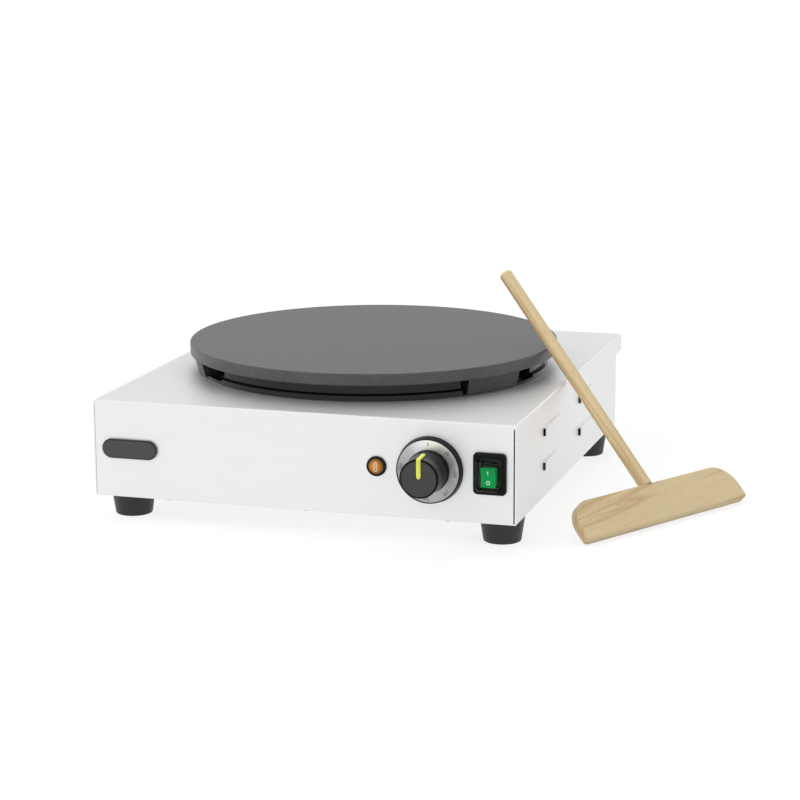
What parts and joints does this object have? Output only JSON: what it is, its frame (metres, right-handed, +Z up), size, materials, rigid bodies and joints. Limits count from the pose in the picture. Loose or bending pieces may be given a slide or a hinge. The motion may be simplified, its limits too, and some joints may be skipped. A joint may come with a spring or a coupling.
{
  "type": "electric crepe maker",
  "caption": "Countertop crepe maker: round cast plate over a low folded steel housing with a thermostat dial, lamp and hooded rocker switch, and a wooden batter spreader leaning on it.",
  "frame": {"origin": "on the floor, in the middle of the whole footprint, spreader included", "axes": "+Z up, controls face -Y, +X to the right seen from the front"},
  "size_m": [0.5582, 0.47, 0.2069],
  "materials": {
    "stainless": "polished, faintly brushed stainless sheet",
    "cast_plate": "seasoned dark grey cast iron, satin",
    "enamel": "gloss black enamel",
    "black_plastic": "gloss black moulding",
    "knob_plastic": "black phenolic, gloss side and matt face",
    "scale_metal": "satin silver scale",
    "pointer": "yellow-green",
    "rubber": "matt black rubber",
    "amber": "clear amber",
    "clear": "clear soft cover",
    "green": "green",
    "zinc": "zinc plated steel",
    "badge": "satin grey with a darker rim",
    "heater_tube": "oxidised heater sheath",
    "wool": "mineral wool board",
    "copper": "bare copper",
    "ceramic": "glazed ceramic",
    "phenolic": "dark moulding",
    "wire_red": "silicone insulation",
    "beech": "pale oiled wood"
  },
  "bodies": {
    "machine": {"housing_cover": "stainless", "base_plate": "stainless", "rear_panel": "stainless", "base_screws": "zinc", "rear_screws": "zinc", "foot_screws": "zinc", "foot_nuts": "zinc", "griddle_plate": "cast_plate", "plate_studs": "zinc", "stud_nuts": "zinc", "element_pan": "enamel", "insulation_disc": "wool", "element_clamp": "zinc", "sensing_bulb": "copper", "bulb_clip": "zinc", "capillary_tube": "copper", "dial_bezel": "black_plastic", "dial_face": "scale_metal", "thermostat_body": "phenolic", "thermostat_screws": "zinc", "lamp_bezel": "black_plastic", "lamp_lens": "amber", "lamp_body": "phenolic", "lamp_nut": "phenolic", "switch_frame": "black_plastic", "switch_hood": "clear", "switch_body": "phenolic", "switch_terminals": "zinc", "nameplate": "badge", "cable_gland": "black_plastic", "gland_cap": "black_plastic", "gland_nut": "black_plastic", "bonding_stud": "zinc", "bonding_nuts": "zinc", "terminal_block": "ceramic", "safety_cutout": "ceramic", "heat_baffle": "zinc", "wires": "wire_red", "outer_heater": "heater_tube", "inner_heater": "heater_tube", "foot_front_left": "rubber", "foot_front_right": "rubber", "foot_rear_left": "rubber", "foot_rear_right": "rubber"},
    "knob": {"control_knob": "knob_plastic", "knob_pointer": "pointer", "thermostat_shaft": "zinc"},
    "rocker": {"switch_rocker": "green"},
    "spreader": {"spreader_blade": "beech", "spreader_handle": "beech"}
  },
  "joints": [
    {"name": "knob_turn", "type": "hinge", "parent": "machine", "child": "knob", "pos_m": [0.039, -0.199, 0.0685], "axis": [0, 1, 0], "range_deg": [0, 276]},
    {"name": "rocker_tilt", "type": "hinge", "parent": "machine", "child": "rocker", "pos_m": [0.0926, -0.2, 0.0673], "axis": [-1, 0, 0], "range_deg": [0, 16]},
    {"name": "spreader_lift", "type": "slide", "parent": "machine", "child": "spreader", "axis": [0, 0, 1], "range_m": [0, 0.25]}
  ]
}
